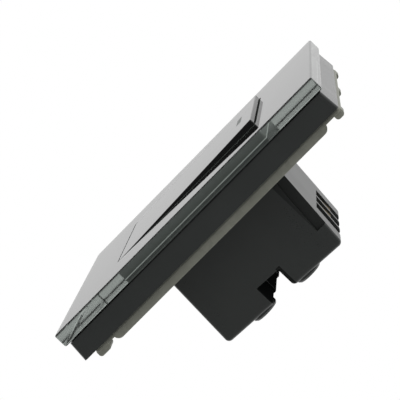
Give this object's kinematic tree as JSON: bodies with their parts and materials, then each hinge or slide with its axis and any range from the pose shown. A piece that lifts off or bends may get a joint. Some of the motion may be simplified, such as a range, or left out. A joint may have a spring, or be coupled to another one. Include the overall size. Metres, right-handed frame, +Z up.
{
  "type": "two-way light switch",
  "caption": "Square wall switch with a glass front, one large rocker, a steel mounting plate and a changeover contact mechanism in a rear housing.",
  "frame": {"origin": "middle of the two fixing slots, on the wall plane that the mounting plate rests on", "axes": "+Z up, the front faces -Y, +Y goes into the wall, X runs across the switch and along the rocker's pivots"},
  "size_m": [0.086, 0.0385, 0.086],
  "materials": {
    "clear_glass": "polished, slightly green at the edges",
    "foam_tape": "matt foam",
    "black_plastic": "fine satin",
    "gloss_black": "high gloss",
    "marker_plastic": "satin",
    "plated_steel": "dull olive-grey plating",
    "screw_steel": "bright zinc",
    "rubber": "matt",
    "lever_plastic": "natural white",
    "spring_steel": "drawn wire",
    "brass": "stamped, dull",
    "contact_silver": "silver alloy"
  },
  "bodies": {
    "housing": {"glass_panel": "clear_glass", "panel_tape": "foam_tape", "cover_frame": "black_plastic", "mounting_plate": "plated_steel", "switch_base": "black_plastic", "switch_cover": "black_plastic", "housing_screws": "screw_steel", "bumper_pads": "rubber", "lever_pin": "screw_steel", "fixed_contacts": "contact_silver", "common_terminal": "brass", "terminal_one": "brass", "terminal_two": "brass", "terminal_screws": "screw_steel"},
    "rocker": {"rocker": "gloss_black", "rocker_marker": "marker_plastic"},
    "lever": {"drive_lever": "lever_plastic", "plunger_spring": "spring_steel"},
    "plunger": {"plunger": "lever_plastic"},
    "blade": {"contact_blade": "brass", "moving_contacts": "contact_silver"}
  },
  "joints": [
    {"name": "rocker_hinge", "type": "hinge", "parent": "housing", "child": "rocker", "pos_m": [0, -0.0082, 0], "axis": [1, 0, 0], "range_deg": [-3.5, 0]},
    {"name": "lever_hinge", "type": "hinge", "parent": "housing", "child": "lever", "pos_m": [0, 0.0008, 0], "axis": [1, 0, 0], "range_deg": [0, 14]},
    {"name": "blade_hinge", "type": "hinge", "parent": "housing", "child": "blade", "pos_m": [0, 0.0124, 0], "axis": [1, 0, 0], "range_deg": [-14, 0]},
    {"name": "plunger_slide", "type": "slide", "parent": "lever", "child": "plunger", "axis": [0, -0.9925, 0.1219], "range_m": [0, 0.0008], "stiffness_N_per_m": 600, "deforming": ["plunger_spring"]}
  ],
  "couplings": [
    {"joint": "lever_hinge", "follows": "rocker_hinge", "ratio": -4},
    {"joint": "blade_hinge", "follows": "rocker_hinge", "ratio": 4}
  ]
}
